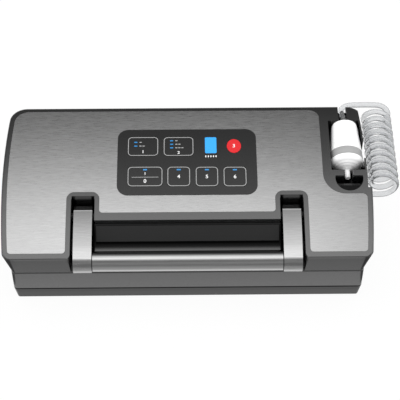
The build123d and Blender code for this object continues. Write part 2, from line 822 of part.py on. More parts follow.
pipe_z = plate_top + 6
head_x = (motor_end + housing_end) / 2
head_z = (housing_top + head_top) / 2
with BuildPart() as air_tubes:
    add(tube([
        (0, port_y, port_top), (0, port_y, port_top + 12), (0, -12, port_top + 13), (0, 2, pipe_z),
        (0, valve_y - 16, pipe_z),
    ], pipe_radius, "air tube"))
    for s in right_left:
        add(tube([
            (s * 20, valve_y, pipe_z), (s * 38, valve_y, pipe_z),
            (s * (motor_start - 16), 12, 66), (s * (motor_end - 14), 2, 80),
            (s * head_x, 4, head_z), (s * head_x, pump_y - 18, head_z),
        ], pipe_radius, "pump tube"))
save(air_tubes.part, "air_tubes")

# Hose port, coiled hose and nozzle
with BuildPart() as hose_port:
    rod_along_x(port_x - 10, port_x + 2, coil_front, port_z, port_radius)
    rod_along_x(port_x + 0.2, port_x + 2, coil_front, port_z, port_radius + 2.5)
save(hose_port.part, "hose_port")

hose_start = nozzle_plane.origin
hose_route = [
    tuple(hose_start), tuple(hose_start - nozzle_plane.x_dir * 9), (nozzle_x - 1.3, 89.5, 98.0),
    (nozzle_x - 1.9, 98.8, 95.8), (nozzle_x + 4.5, 106, 95.1), (coil_x - 18, 106.3, 95.2),
    (coil_x - 1.5, run_y, run_z),
]
with BuildPart() as hose_lead:
    add(tube(hose_route, hose_radius, "hose lead"))
    rod_along_x(port_x + 2, coil_x, coil_front, port_z, hose_radius)
save(hose_lead.part, "hose_lead")
with BuildPart() as curly_hose:
    coil_back = run_y + hose_radius
    with Locations(Location((coil_x, (coil_front - hose_radius + coil_back) / 2, run_z - coil_radius),
    (90, 0, 0))):
        Cylinder(coil_radius + hose_radius, coil_back - coil_front + hose_radius)
save(curly_hose.part, "curly_hose")


def turned(points, name):
    """A round piece turned about the nozzle axis, from points of distance from the rear end and radius."""
    with BuildPart() as piece:
        with BuildSketch(nozzle_plane):
            with BuildLine():
                Polyline((points[0][0], 0), *points, (points[-1][0], 0), close=True)
            make_face()
        revolve(axis=Axis(nozzle_plane.origin, nozzle_plane.x_dir))
    save(piece.part, name)


turned([
    (0, nozzle_rear_radius - 3), (1.0, nozzle_rear_radius - 1), (3.5, nozzle_rear_radius),
    (body_length, nozzle_radius),
], "nozzle_body")
turned([(body_length, nozzle_radius), (widest, nozzle_radius)], "nozzle_band")
turned([
    (widest, nozzle_radius), (widest + 3.5, nozzle_radius - 0.3), (widest + 6.5, nozzle_radius - 2.2),
    (widest + 8.7, nozzle_radius - 5.6), (cap_end - 1.2, nozzle_radius - 8.8), (cap_end, tip_radius + 2),
    (cap_end, tip_radius), (tip_end - 0.8, tip_radius), (tip_end, tip_radius - 0.8),
], "nozzle_tip")

# Handle: arms, grip and latch claws turn together about the two short shafts
nose_y = handle_front + nose_radius
nose_start, nose_middle, nose_end = [
    (nose_y - nose_radius * cos(radians(angle)), nose_z + nose_radius * sin(radians(angle)))
    for angle in (nose_top, (nose_top + nose_bottom) / 2, nose_bottom)
]
arm_slope = (arm_rear_z - nose_start[1]) / (arm_rear_y - nose_start[0])
grip_back = grip_y + grip_radius + 0.5
grip_bottom = grip_z - grip_radius
under_z = nose_start[1] + arm_slope * (grip_back - nose_start[0]) - arm_thick
for s, side in zip(right_left, ("right", "left")):
    with BuildPart() as arm:
        with BuildSketch(Plane.YZ.offset(s * arm_x)) as arm_view:
            with BuildLine():
                top = SagittaArc((arm_rear_y, arm_rear_z), nose_start, -arm_rise)
                ThreePointArc(nose_start, nose_middle, nose_end)
                Polyline(
                    nose_end, (handle_front + 6, grip_bottom),
                    (grip_back - 5, grip_bottom), (grip_back, arm_foot_z + 2), (grip_back, under_z),
                    (pivot_y - 8, pivot_z + 1), (pivot_y - 6, pivot_z - 9), (pivot_y + 6, pivot_z - 10),
                    (pivot_y + 11.4, pivot_z - 2), (pivot_y + 11.4, pivot_z + 3),
                    (pivot_y + 8.8, pivot_z + 6.6), top @ 0,
                )
            make_face()
        extrude(amount=arm_width / 2, both=True)
        rod_along_x(
            s * arm_inner, s * arm_outer, pivot_y, pivot_z, shaft_radius + shaft_fit, mode=Mode.SUBTRACT
        )
        rod_along_x(s * arm_inner, s * arm_outer, grip_y, grip_z, bolt_radius + fit, mode=Mode.SUBTRACT)
        rod_along_x(
            s * (arm_outer - 4), s * arm_outer, grip_y, grip_z, 2 * bolt_radius + fit, mode=Mode.SUBTRACT
        )
    save(arm.part, f"{side}_arm")

with BuildPart() as grip_rod:
    rod_along_x(-arm_inner, arm_inner, grip_y, grip_z, grip_radius)
    rod_along_x(-arm_inner, arm_inner, grip_y, grip_z, grip_radius - grip_wall, mode=Mode.SUBTRACT)
save(grip_rod.part, "grip_rod")

with BuildPart() as grip_plugs:
    for s in right_left:
        rod_along_x(s * (arm_inner - 18), s * arm_inner, grip_y, grip_z, grip_radius - grip_wall - shaft_fit)
        rod_along_x(
            s * (arm_inner - 12), s * arm_inner, grip_y, grip_z, bolt_radius + shaft_fit, mode=Mode.SUBTRACT
        )
save(grip_plugs.part, "grip_plugs")

with BuildPart() as grip_bolts:
    for s in right_left:
        rod_along_x(s * (arm_inner - 10), s * (arm_outer - 4), grip_y, grip_z, bolt_radius)
        rod_along_x(s * (arm_outer - 4), s * (arm_outer - 0.5), grip_y, grip_z, 2 * bolt_radius)
save(grip_bolts.part, "grip_bolts")

with BuildPart() as handle_shafts:
    for s in right_left:
        rod_along_x(s * shaft_start, s * shaft_end, pivot_y, pivot_z, shaft_radius)
save(handle_shafts.part, "handle_shafts")

claw_tip_z = pivot_z - claw_reach
with BuildPart() as latch_claws:
    for s in right_left:
        x0, x1 = s * claw_x - claw_thick / 2, s * claw_x + claw_thick / 2
        rod_along_x(x0, x1, pivot_y, pivot_z, 2 * shaft_radius)
        box_between(x0, x1, pivot_y - claw_width / 2, pivot_y + claw_width / 2, claw_tip_z, pivot_z)
        box_between(x0, x1, pivot_y, pivot_y + claw_width / 2 + claw_nose, claw_tip_z, claw_tip_z + 6)
        rod_along_x(x0, x1, pivot_y, pivot_z, shaft_radius + shaft_fit, mode=Mode.SUBTRACT)
save(latch_claws.part, "latch_claws")

# Base
shell_bottom = seam_z + seam_gap / 2
with BuildPart() as base_hollow:
    with BuildSketch(Plane.XY.offset(shell_bottom - 1)):
        add(base_plan(base_wall))
    extrude(amount=deck_z - deck - shell_bottom + 1)
    with BuildSketch(Plane.XY.offset(trough_floor - deck)):
        add(trough_plan(deck))
    extrude(amount=deck_z, mode=Mode.SUBTRACT)
    box_between(
        -seal_half - deck, seal_half + deck, seal_y - bar_width / 2 - deck, seal_y + bar_width / 2 + deck,
        bar_seat - deck, deck_z, mode=Mode.SUBTRACT,
    )
    for s in right_left:
        for side in right_left:
            x = s * claw_x + side * (claw_thick / 2 + 3.0)
            box_between(
                x - 1.5, x + 1.5, striker_y - 5, striker_y + 5, striker_z - 6, deck_z, mode=Mode.SUBTRACT
            )
    for x, y in base_bosses:
        peg(x, y, 0, deck_z, boss_radius + 0.5, mode=Mode.SUBTRACT)

with BuildPart() as base_shell:
    with BuildSketch(Plane.XY.offset(shell_bottom)):
        add(base_plan(0))
    extrude(amount=deck_z - shell_bottom)
    chamfer(base_shell.faces().sort_by(Axis.Z)[-1].edges().sort_by(Axis.Y)[-1], 2.0)
    add(base_hollow.part, mode=Mode.SUBTRACT)
    for x, y in base_bosses:
        peg(x, y, boss_foot, shell_bottom + 1, boss_radius + 0.5)
        peg(x, y, boss_foot, boss_foot + 16, screw_radius + shaft_fit, mode=Mode.SUBTRACT)
    with BuildSketch(Plane.XY.offset(trough_floor)):
        add(trough_plan(0))
    extrude(amount=deck_z, mode=Mode.SUBTRACT)
    with BuildSketch(Plane.XY.offset(deck_z - gasket_seat)):
        add(ring_plan(fit))
    extrude(amount=deck_z, mode=Mode.SUBTRACT)
    box_between(
        -seal_half - fit, seal_half + fit, seal_y - bar_width / 2 - fit, seal_y + bar_width / 2 + fit,
        bar_seat, deck_z + 1, mode=Mode.SUBTRACT,
    )
    for s in right_left:
        box_between(
            s * claw_x - claw_thick / 2 - 1.5, s * claw_x + claw_thick / 2 + 1.5, claw_slot[0], striker_y + 4,
            striker_z - 6, deck_z + 1, mode=Mode.SUBTRACT,
        )
        rod_along_x(
            s * claw_x - claw_thick / 2 - 5, s * claw_x + claw_thick / 2 + 5, striker_y, striker_z,
            striker_radius + shaft_fit, mode=Mode.SUBTRACT,
        )
        x0, x1 = s * knuckle_x, s * (knuckle_x + knuckle_length)
        rod_along_x(x0, x1, hinge_y, hinge_z, knuckle_radius)
        box_between(x0, x1, hinge_y - knuckle_radius, hinge_y + 1.5, deck_z - 1, hinge_z)
        rod_along_x(x0, x1, hinge_y, hinge_z, hinge_pin_radius + shaft_fit, mode=Mode.SUBTRACT)
    box_between(-170, 170, hinge_y - 7.5, hinge_y - 5, deck_z - 1, rear_bottom - 3)
    box_between(
        inlet_x - inlet_width / 2 - fit, inlet_x + inlet_width / 2 + fit, base_back - 6, base_back + 1,
        inlet_z - inlet_height / 2 - fit, inlet_z + inlet_height / 2 + fit, mode=Mode.SUBTRACT,
    )
save(base_shell.part, "base_shell")

with BuildPart() as bottom_cover:
    with BuildSketch(Plane.XY.offset(cover_bottom)):
        add(base_plan(cover_lean))
    with BuildSketch(Plane.XY.offset(seam_z - seam_gap / 2)):
        add(base_plan(0))
    loft()
    with BuildSketch(Plane.XY.offset(cover_bottom + cover_floor)):
        add(base_plan(cover_lean + base_wall))
    extrude(amount=seam_z, mode=Mode.SUBTRACT)
    with BuildSketch(Plane.XY.offset(cover_bottom + cover_floor - 0.5)):
        add(base_plan(base_wall + fit))
        add(base_plan(base_wall + 2.2), mode=Mode.SUBTRACT)
    extrude(amount=seam_z + 4 - cover_bottom - cover_floor)
    for x, y in base_bosses:
        peg(x, y, cover_bottom + cover_floor, seam_z + 6, boss_radius + 1.0, mode=Mode.SUBTRACT)
        peg(x, y, 0, 10, screw_radius + fit, mode=Mode.SUBTRACT)
        peg(x, y, 0, cover_bottom + 1.5, 2 * screw_radius + fit, mode=Mode.SUBTRACT)
    for x, y in feet:
        peg(x, y, 0, cover_bottom + foot_sunk, foot_radius + fit, mode=Mode.SUBTRACT)
    with BuildSketch():
        with GridLocations(9.0, 0, 7, 1):
            SlotOverall(26, 3.0, rotation=90)
    extrude(amount=10, mode=Mode.SUBTRACT)
    for x, y in supply_posts:
        peg(x, y, cover_bottom + 1, supply_z, 3.0)
        peg(x, y, cover_bottom + 2.5, supply_z, 1.05, mode=Mode.SUBTRACT)
save(bottom_cover.part, "bottom_cover")

with BuildPart() as cover_screws:
    for x, y in base_bosses:
        peg(x, y, cover_bottom + 0.1, cover_bottom + 1.5, 2 * screw_radius)
        peg(x, y, cover_bottom + 1.5, boss_foot + 14, screw_radius)
save(cover_screws.part, "cover_screws")

with BuildPart() as rubber_feet:
    for x, y in feet:
        peg(x, y, 0, cover_bottom + foot_sunk, foot_radius)
save(rubber_feet.part, "rubber_feet")

with BuildPart() as hinge_pins:
    for s in right_left:
        rod_along_x(s * knuckle_x, s * (knuckle_x + 2 * knuckle_length), hinge_y, hinge_z, hinge_pin_radius)
save(hinge_pins.part, "hinge_pins")

with BuildPart() as striker_pins:
    for s in right_left:
        rod_along_x(
            s * claw_x - claw_thick / 2 - 4.5, s * claw_x + claw_thick / 2 + 4.5, striker_y, striker_z,
            striker_radius
        )
save(striker_pins.part, "striker_pins")

with BuildPart() as lower_gasket:
    with BuildSketch(Plane.XY.offset(deck_z - gasket_seat)):
        add(ring_plan())
    extrude(amount=gasket_seat + chamber_gap)
save(lower_gasket.part, "lower_gasket")

element_top = bar_top - tape_thick
with BuildPart() as heating_bar:
    box_between(
        -seal_half, seal_half, seal_y - bar_width / 2, seal_y + bar_width / 2, bar_seat,
        element_top - element_thick
    )
save(heating_bar.part, "heating_bar")
with BuildPart() as heating_element:
    box_between(-seal_half, seal_half, seal_y - 1.5, seal_y + 1.5, element_top - element_thick, element_top)
save(heating_element.part, "heating_element")
with BuildPart() as release_tape:
    box_between(
        -seal_half, seal_half, seal_y - bar_width / 2, seal_y + bar_width / 2, element_top, bar_top
    )
save(release_tape.part, "release_tape")

with BuildPart() as drip_tray:
    with BuildSketch(Plane.XY.offset(trough_floor)):
        add(trough_plan(-gap))
    extrude(amount=deck_z - 1.5 - trough_floor)
    with BuildSketch(Plane.XY.offset(trough_floor + tray_wall)):
        add(trough_plan(-gap - tray_wall))
    extrude(amount=deck_z, mode=Mode.SUBTRACT)
save(drip_tray.part, "drip_tray")

floor_top = cover_bottom + cover_floor
with BuildPart() as transformer_core:
    box_between(core_x - 27, core_x + 27, core_y - 9, core_y + 9, floor_top, floor_top + 36)
    for s in right_left:
        box_between(
            core_x + s * 9, core_x + s * 18, core_y - 10, core_y + 10, floor_top + 8, floor_top + 28,
            mode=Mode.SUBTRACT
        )
save(transformer_core.part, "transformer_core")
with BuildPart() as transformer_coil:
    box_between(core_x - 17.5, core_x + 17.5, core_y - 18, core_y + 18, floor_top + 8.5, floor_top + 27.5)
    box_between(core_x - 9.2, core_x + 9.2, core_y - 9.2, core_y + 9.2, 0, deck_z, mode=Mode.SUBTRACT)
save(transformer_coil.part, "transformer_coil")

with BuildPart() as supply_board:
    box_between(
        supply_x - 38, supply_x + 38, supply_y - 26, supply_y + 26, supply_z, supply_z + board_thick
    )
save(supply_board.part, "supply_board")
with BuildPart() as supply_parts:
    box_between(supply_x - 30, supply_x - 12, supply_y - 18, supply_y - 3, supply_top, supply_top + 15)
    box_between(supply_x - 30, supply_x - 12, supply_y + 2, supply_y + 17, supply_top, supply_top + 15)
    peg(supply_x + 6, supply_y - 10, supply_top, supply_top + 20, 8.0)
    peg(supply_x + 6, supply_y + 12, supply_top, supply_top + 14, 6.0)
    box_between(supply_x + 22, supply_x + 30, supply_y - 20, supply_y + 20, supply_top, supply_top + 8)
save(supply_parts.part, "supply_parts")

with BuildPart() as power_inlet:
    box_between(
        inlet_x - inlet_width / 2, inlet_x + inlet_width / 2, base_back - inlet_depth, base_back,
        inlet_z - inlet_height / 2, inlet_z + inlet_height / 2,
    )
    with BuildSketch(Plane(origin=(inlet_x, base_back, inlet_z), x_dir=(1, 0, 0), z_dir=(0, -1, 0))):
        SlotOverall(inlet_width - 5, inlet_height - 4)
    extrude(amount=inlet_depth - 4, mode=Mode.SUBTRACT)
    for s in right_left:
        with Locations(Location((inlet_x + s * pin_pitch / 2, base_back - inlet_depth + 2, inlet_z),
        (90, 0, 0))):
            Cylinder(pin_size + shaft_fit, 4.2, mode=Mode.SUBTRACT)
save(power_inlet.part, "power_inlet")
with BuildPart() as inlet_pins:
    for s in right_left:
        with Locations(
            Location((inlet_x + s * pin_pitch / 2, base_back - inlet_depth / 2 - 1.5, inlet_z), (90, 0, 0))
        ):
            Cylinder(pin_size, inlet_depth - 3)
save(inlet_pins.part, "inlet_pins")

with BuildPart() as mains_wires:
    for s in right_left:
        x = inlet_x + s * pin_pitch / 2
        coil_end = core_x + s * 6
        add(tube([
            (x, base_back - inlet_depth, inlet_z), (x, base_back - inlet_depth - 8, inlet_z),
            (x + 8, core_y + 27 - 3 * s, 25), (coil_end - 12, core_y + 28 - 3 * s, 20),
            (coil_end, core_y + 25, 17), (coil_end, core_y + 18, 17),
        ], 1.1, "mains wire"))
save(mains_wires.part, "mains_wires")
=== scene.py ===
import json
from math import cos, pi, radians, sin

import bmesh
import bpy
from mathutils import Matrix, Vector
from mathutils.bvhtree import BVHTree


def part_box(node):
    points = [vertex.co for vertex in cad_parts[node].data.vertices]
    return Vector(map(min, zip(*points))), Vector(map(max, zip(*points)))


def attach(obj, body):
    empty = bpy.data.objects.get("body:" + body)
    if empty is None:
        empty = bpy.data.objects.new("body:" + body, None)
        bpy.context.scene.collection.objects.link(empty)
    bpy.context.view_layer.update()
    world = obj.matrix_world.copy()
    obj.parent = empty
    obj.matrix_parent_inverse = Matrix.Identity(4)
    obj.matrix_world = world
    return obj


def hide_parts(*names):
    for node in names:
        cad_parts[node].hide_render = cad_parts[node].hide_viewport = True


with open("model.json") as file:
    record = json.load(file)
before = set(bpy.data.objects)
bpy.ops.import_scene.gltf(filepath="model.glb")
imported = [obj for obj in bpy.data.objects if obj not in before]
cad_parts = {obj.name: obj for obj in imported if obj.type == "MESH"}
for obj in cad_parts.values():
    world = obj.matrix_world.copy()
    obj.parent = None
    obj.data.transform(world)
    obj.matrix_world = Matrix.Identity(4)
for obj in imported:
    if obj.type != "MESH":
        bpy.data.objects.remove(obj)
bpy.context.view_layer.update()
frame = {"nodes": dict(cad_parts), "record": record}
nodes = frame["nodes"]
record = frame["record"]
scene = bpy.context.scene
roundSteps = 64  # faces round a full turn
print("stage: frame loaded,", len(nodes), "nodes")


# angles in degrees, places in metres, lens and sensor in millimetres
camera = {
    "target": (0.0141, 0.0061, 0.050),
    "azimuth": -0.88,
    "elevation": 51.27,
    "roll": 0.26,
    "distance": 1.5793,
    "lens": 127.75,
    "sensor": 36,
}


def placeCamera():
    azimuth, elevation, roll = (radians(camera[angle]) for angle in ("azimuth", "elevation", "roll"))
    back = Vector((sin(azimuth) * cos(elevation), -cos(azimuth) * cos(elevation), sin(elevation)))
    right = Vector((0, 0, 1)).cross(back).normalized()
    up = back.cross(right)
    data = bpy.data.cameras.new("camera")
    data.sensor_width = camera["sensor"]
    data.lens = camera["lens"]
    rig = bpy.data.objects.new("camera", data)
    scene.collection.objects.link(rig)
    sideways = right * cos(roll) + up * sin(roll)
    upwards = up * cos(roll) - right * sin(roll)
    turn = Matrix((sideways, upwards, back)).transposed().to_4x4()
    rig.matrix_world = Matrix.Translation(Vector(camera["target"]) + back * camera["distance"]) @ turn
    scene.camera = rig


studio = {
    "floorRadius": 8.0,
    "floorDrop": 0.0003,
    "floorColor": 0.90,
    "floorGlow": 0.94,  # share of the floor that reads as plain white
    "skyLight": 1.00,
    # centre, width, depth and radiance of the lamp overhead
    "softbox": ((-0.10, 0.18, 1.60), 3.0, 1.15, 1.4),
    "surroundRadius": 2.6,
    "surroundHalf": 4.0,
    # tone that glossy pieces see at each angle, from the front horizon (0) over the top (90) to the back
    "surround": [
        (-12, 0.30), (1, 0.22), (14, 0.24), (26, 0.30), (37, 0.29), (49, 0.20), (58, 0.27), (66, 0.55),
        (73, 0.98), (79, 1.30), (86, 1.40), (92, 1.30), (98, 1.14), (104, 0.98), (109, 0.83),
        (113, 0.70), (118, 0.52), (123, 0.39), (129, 0.33), (135, 0.25), (138, 0.14), (145, 0.09),
        (151, 0.12), (157, 0.42), (165, 0.75), (179, 0.85),
    ],
    "matHeight": 0.012,
    "matHalf": 0.197,
    # tone that glossy pieces see on the table in front, by distance along y
    "mat": [
        (-2.6, 0.22), (-0.35, 0.30), (-0.22, 0.38), (-0.16, 0.42), (-0.14, 0.46), (-0.12, 0.78),
        (-0.09, 0.88),
    ],
    # the same at both sides of the machine
    "sideMatWidth": 0.9,
    "sideMat": [(-2.6, 0.15), (0.6, 0.15)],
    # inner and outer radius and tone of a ring on the table that only rays through clear pieces see
    "darkField": (0.45, 2.5, 0.25),
    "darkFieldHeight": 0.001,
}


def gray(tone):
    return (tone, tone, tone)


def linkNodes(tree, source, target):
    tree.links.new(source, target)


def feed(tree, value, target):
    # a socket is linked, a plain value is set
    if isinstance(value, bpy.types.NodeSocket):
        linkNodes(tree, value, target)
    else:
        target.default_value = value


def compute(tree, operation, *values):
    # one arithmetic step on sockets and numbers
    step = tree.nodes.new("ShaderNodeMath")
    step.operation = operation
    for value, target in zip(values, step.inputs):
        feed(tree, value, target)
    return step.outputs[0]


def toneAlong(tree, measure, stops):
    # a grey that follows the stops while the measured value grows
    spread = tree.nodes.new("ShaderNodeMapRange")
    spread.inputs["From Min"].default_value = stops[0][0]
    spread.inputs["From Max"].default_value = stops[-1][0]
    linkNodes(tree, measure, spread.inputs["Value"])
    ramp = tree.nodes.new("ShaderNodeValToRGB")
    marks = ramp.color_ramp.elements
    while len(marks) < len(stops):
        marks.new(1.0)
    for mark, (at, tone) in zip(marks, stops):
        mark.position = (at - stops[0][0]) / (stops[-1][0] - stops[0][0])
        mark.color = (*gray(tone), 1)
    linkNodes(tree, spread.outputs["Result"], ramp.inputs[0])
    return ramp.outputs["Color"]


def seenByEye(tree):
    # 1 for rays that look straight at a surface, by reflection or through something clear
    path = tree.nodes.new("ShaderNodeLightPath")
    total = path.outputs["Is Camera Ray"]
    for ray in ("Is Glossy Ray", "Is Transmission Ray"):
        total = compute(tree, "MAXIMUM", total, path.outputs[ray])
    return total


def makeWorld():
    world = bpy.data.worlds.new("studio")
    scene.world = world
    world.use_nodes = True
    tree = world.node_tree
    soft = tree.nodes["Background"]
    soft.inputs["Strength"].default_value = studio["skyLight"]
    soft.inputs["Color"].default_value = (1, 1, 1, 1)
    white = tree.nodes.new("ShaderNodeBackground")
    white.inputs["Color"].default_value = (1, 1, 1, 1)
    mix = tree.nodes.new("ShaderNodeMixShader")
    linkNodes(tree, seenByEye(tree), mix.inputs[0])
    linkNodes(tree, soft.outputs[0], mix.inputs[1])
    linkNodes(tree, white.outputs[0], mix.inputs[2])
    linkNodes(tree, mix.outputs[0], tree.nodes["World Output"].inputs["Surface"])


def floorFinish():
    finish = bpy.data.materials.new("studio_floor")
    finish.use_nodes = True
    tree = finish.node_tree
    tree.nodes.remove(tree.nodes["Principled BSDF"])
    matte = tree.nodes.new("ShaderNodeBsdfDiffuse")
    matte.inputs["Color"].default_value = (*gray(studio["floorColor"]), 1)
    glow = tree.nodes.new("ShaderNodeEmission")
    mix = tree.nodes.new("ShaderNodeMixShader")
    linkNodes(tree, compute(tree, "MULTIPLY", seenByEye(tree), studio["floorGlow"]), mix.inputs[0])
    linkNodes(tree, matte.outputs[0], mix.inputs[1])
    linkNodes(tree, glow.outputs[0], mix.inputs[2])
    linkNodes(tree, mix.outputs[0], tree.nodes["Material Output"].inputs["Surface"])
    return finish


def cardFinish(name, stops, byAngle=False):
    # a glow whose tone changes with the angle round the machine or with y
    finish = bpy.data.materials.new(name)
    finish.use_nodes = True
    tree = finish.node_tree
    tree.nodes.remove(tree.nodes["Principled BSDF"])
    place = tree.nodes.new("ShaderNodeTexCoord")
    split = tree.nodes.new("ShaderNodeSeparateXYZ")
    linkNodes(tree, place.outputs["Object"], split.inputs[0])
    measure = split.outputs["Y"]
    if byAngle:
        front = compute(tree, "MULTIPLY", measure, -1)
        measure = compute(tree, "DEGREES", compute(tree, "ARCTAN2", split.outputs["Z"], front))
    brightest = max(tone for _, tone in stops)
    shares = [(at, tone / brightest) for at, tone in stops]
    glow = tree.nodes.new("ShaderNodeEmission")
    glow.inputs["Strength"].default_value = brightest
    linkNodes(tree, toneAlong(tree, measure, shares), glow.inputs["Color"])
    linkNodes(tree, glow.outputs[0], tree.nodes["Material Output"].inputs["Surface"])
    return finish


def newPiece(name, bm, finish, smooth=False):
    # turns a bmesh into an object with one finish
    mesh = bpy.data.meshes.new(name)
    for face in bm.faces:
        face.smooth = smooth
    bm.to_mesh(mesh)
    bm.free()
    mesh.materials.append(finish)
    piece = bpy.data.objects.new(name, mesh)
    scene.collection.objects.link(piece)
    return piece


def showOnlyTo(card, glossy=False, clear=False):
    card.visible_camera = card.visible_diffuse = card.visible_shadow = False
    card.visible_glossy = glossy
    card.visible_transmission = clear


def makeSurround():
    # an arch over the machine that only reflections see
    half, radius, stops = studio["surroundHalf"], studio["surroundRadius"], studio["surround"]
    bm = bmesh.new()
    ends = [bm.verts.new((side * half, -radius, 0)) for side in (-1, 1)]
    edge = bm.edges.new(ends)
    bmesh.ops.rotate(bm, cent=(0, 0, 0), matrix=Matrix.Rotation(-radians(stops[0][0]), 3, "X"), verts=ends)
    arch = radians(stops[-1][0] - stops[0][0])
    bmesh.ops.spin(
        bm, geom=[edge] + ends, cent=(0, 0, 0), axis=(1, 0, 0), angle=-arch, steps=roundSteps,
    )
    arching = cardFinish("surround_tone", stops, byAngle=True)
    showOnlyTo(newPiece("surround", bm, arching), glossy=True, clear=True)


def makeMat(name, left, right, stops):
    bm = bmesh.new()
    near, far = stops[-1][0], stops[0][0]
    bmesh.ops.create_grid(bm, x_segments=1, y_segments=1, size=0.5)
    bmesh.ops.scale(bm, vec=(right - left, near - far, 1), verts=bm.verts)
    middle = ((left + right) / 2, (near + far) / 2, studio["matHeight"])
    bmesh.ops.translate(bm, vec=middle, verts=bm.verts)
    showOnlyTo(newPiece(name, bm, cardFinish(f"{name}_tone", stops)), glossy=True)


def makeDarkField():
    inner, outer, tone = studio["darkField"]
    bm = bmesh.new()
    start = [bm.verts.new((radius, 0, studio["darkFieldHeight"])) for radius in (inner, outer)]
    edge = bm.edges.new(start)
    bmesh.ops.spin(
        bm, geom=[edge] + start, cent=(0, 0, 0), axis=(0, 0, 1), angle=2 * pi, steps=roundSteps,
        use_merge=True,
    )
    even = cardFinish("dark_field_tone", [(-outer, tone), (outer, tone)])
    showOnlyTo(newPiece("dark_field", bm, even), clear=True)


def makeStudio():
    makeWorld()
    bm = bmesh.new()
    bmesh.ops.create_circle(bm, cap_ends=True, segments=roundSteps, radius=studio["floorRadius"])
    bmesh.ops.translate(bm, vec=(0, 0, -studio["floorDrop"]), verts=bm.verts)
    newPiece("floor", bm, floorFinish())
    centre, width, depth, radiance = studio["softbox"]
    data = bpy.data.lights.new("softbox", "AREA")
    data.shape = "RECTANGLE"
    data.size, data.size_y = width, depth
    data.energy = radiance * pi * width * depth
    lamp = bpy.data.objects.new("softbox", data)
    lamp.location = centre
    lamp.visible_glossy = False
    scene.collection.objects.link(lamp)
    makeSurround()
    half, outer = studio["matHalf"], studio["matHalf"] + studio["sideMatWidth"]
    makeMat("mat_front", -half, half, studio["mat"])
    makeMat("mat_left", -outer, -half, studio["sideMat"])
    makeMat("mat_right", half, outer, studio["sideMat"])
    makeDarkField()


scene.view_settings.view_transform = "Standard"
placeCamera()
makeStudio()
print("stage: camera and studio")


def startFinish(name, color, roughness, metallic=0.0, **sockets):
    finish = bpy.data.materials.new(name)
    finish.use_nodes = True
    shader = finish.node_tree.nodes["Principled BSDF"]
    shader.inputs["Base Color"].default_value = (*color, 1)
    shader.inputs["Roughness"].default_value = roughness
    shader.inputs["Metallic"].default_value = metallic
    for socket, value in sockets.items():
        shader.inputs[socket].default_value = value
    return finish


def addGrain(finish, scale, detail, stretch=(1, 1, 1)):
    # noise in the piece's own space, longer along the axes with a small stretch
    tree = finish.node_tree
    place = tree.nodes.new("ShaderNodeTexCoord")
    mapping = tree.nodes.new("ShaderNodeMapping")
    mapping.inputs["Scale"].default_value = stretch
    noise = tree.nodes.new("ShaderNodeTexNoise")
    noise.inputs["Scale"].default_value = scale
    noise.inputs["Detail"].default_value = detail
    linkNodes(tree, place.outputs["Object"], mapping.inputs["Vector"])
    linkNodes(tree, mapping.outputs["Vector"], noise.inputs["Vector"])
    return noise.outputs["Fac"]


grainRange = {"tint": (0.35, 0.65), "rough": (0.3, 0.7)}  # part of the noise that each one uses


def tintBy(finish, grain, dark, light):
    tree = finish.node_tree
    ramp = tree.nodes.new("ShaderNodeValToRGB")
    for mark, position, color in zip(ramp.color_ramp.elements, grainRange["tint"], (dark, light)):
        mark.position = position
        mark.color = (*color, 1)
    linkNodes(tree, grain, ramp.inputs[0])
    linkNodes(tree, ramp.outputs["Color"], tree.nodes["Principled BSDF"].inputs["Base Color"])


def roughenBy(finish, grain, smoothest, roughest):
    tree = finish.node_tree
    spread = tree.nodes.new("ShaderNodeMapRange")
    limits = (*grainRange["rough"], smoothest, roughest)
    for socket, limit in zip(("From Min", "From Max", "To Min", "To Max"), limits):
        spread.inputs[socket].default_value = limit
    linkNodes(tree, grain, spread.inputs["Value"])
    linkNodes(tree, spread.outputs["Result"], tree.nodes["Principled BSDF"].inputs["Roughness"])


def bumpBy(finish, grain, height, strength):
    tree = finish.node_tree
    bump = tree.nodes.new("ShaderNodeBump")
    bump.inputs["Distance"].default_value = height
    bump.inputs["Strength"].default_value = strength
    linkNodes(tree, grain, bump.inputs["Height"])
    linkNodes(tree, bump.outputs["Normal"], tree.nodes["Principled BSDF"].inputs["Normal"])


moulding = {"scale": 1800, "detail": 2, "dark": 0.94, "light": 1.05, "roughness": 0.04, "strength": 0.35}


def mouldedPlastic(name, color, roughness, metallic=0.0, height=0.00002, **sockets):
    finish = startFinish(name, color, roughness, metallic, **sockets)
    grain = addGrain(finish, moulding["scale"], moulding["detail"])
    light = [min(moulding["light"] * part, 1) for part in color]
    tintBy(finish, grain, [moulding["dark"] * part for part in color], light)
    roughenBy(finish, grain, roughness - moulding["roughness"], roughness + moulding["roughness"])
    bumpBy(finish, grain, height, moulding["strength"])
    return finish


brushing = {
    "scale": 100, "detail": 6, "smoother": 0.05, "rougher": 0.06, "height": 0.00003, "strength": 0.25,
}


def brushedMetal(name, tone, roughness, stretch, contrast=0.10):
    finish = startFinish(name, gray(tone), roughness, 1.0)
    streaks = addGrain(finish, brushing["scale"], brushing["detail"], stretch)
    tintBy(finish, streaks, gray(tone * (1 - contrast)), gray(tone * (1 + contrast)))
    roughenBy(finish, streaks, roughness - brushing["smoother"], roughness + brushing["rougher"])
    bumpBy(finish, streaks, brushing["height"], brushing["strength"])
    return finish


weave = {"scale": 1400, "dark": 0.8, "roughness": 0.55, "height": 0.00004, "strength": 0.5}


